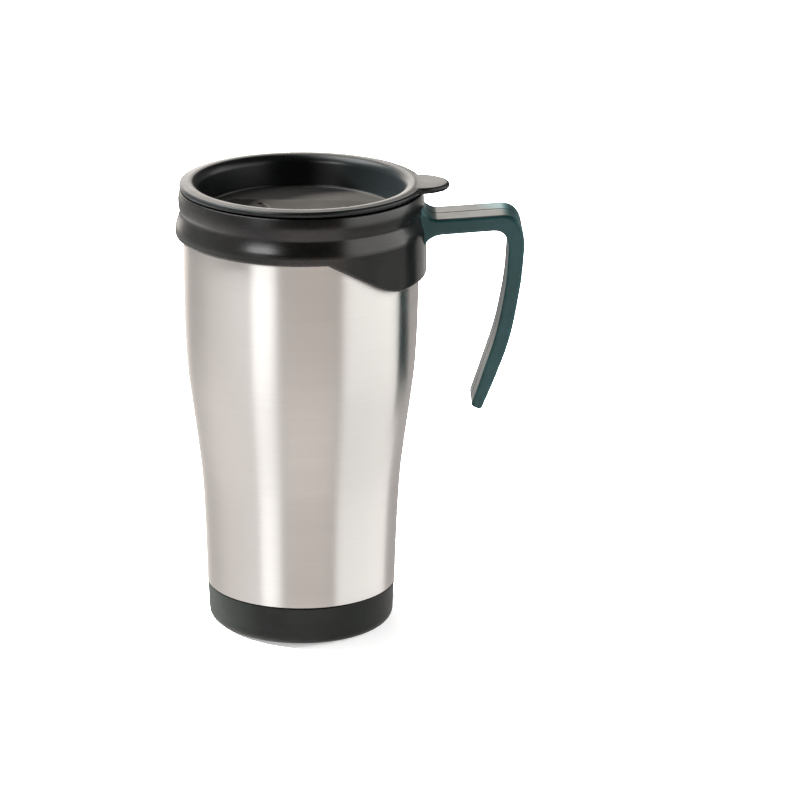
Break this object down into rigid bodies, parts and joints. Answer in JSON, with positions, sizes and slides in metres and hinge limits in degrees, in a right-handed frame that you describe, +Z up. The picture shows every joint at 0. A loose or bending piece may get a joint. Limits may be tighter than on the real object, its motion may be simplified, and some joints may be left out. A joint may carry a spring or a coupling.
{
  "type": "insulated travel mug",
  "caption": "Tall double-walled travel mug with a brushed steel sleeve, plastic collar and base, open-ended side handle and a press-in lid with a sliding drink closure.",
  "frame": {"origin": "centre of the non-slip pad's underside, on the mug's axis", "axes": "+Z up along the mug's axis, +X towards the handle and the lid's thumb tab, +Y across the handle"},
  "size_m": [0.1265, 0.0914, 0.1674],
  "materials": {
    "brushed_steel": "brushed round the mug",
    "black_plastic": "satin",
    "handle_plastic": "satin",
    "base_plastic": "fine satin texture",
    "liner_plastic": "smooth satin",
    "silicone": "translucent grey, matt",
    "rubber": "matt"
  },
  "bodies": {
    "mug": {"outer_shell": "brushed_steel", "inner_liner": "liner_plastic", "liner_seal_ring": "silicone", "collar": "black_plastic", "handle_front_half": "handle_plastic", "handle_back_half": "handle_plastic", "base_cap": "base_plastic", "base_seal_ring": "silicone", "non_slip_pad": "rubber"},
    "gasket": {"lid_gasket": "silicone"},
    "lid": {"lid": "black_plastic"},
    "slider": {"slider": "black_plastic", "slider_keeper": "black_plastic", "slider_seal": "silicone"}
  },
  "joints": [
    {"name": "lid_lift", "type": "slide", "parent": "mug", "child": "gasket", "axis": [0, 0, 1], "range_m": [0, 0.06]},
    {"name": "lid_turn", "type": "hinge", "parent": "gasket", "child": "lid", "pos_m": [0, 0, 0.1575], "axis": [0, 0, 1], "continuous": true},
    {"name": "slider_slide", "type": "slide", "parent": "lid", "child": "slider", "axis": [-1, 0, 0], "range_m": [0, 0.006]}
  ]
}
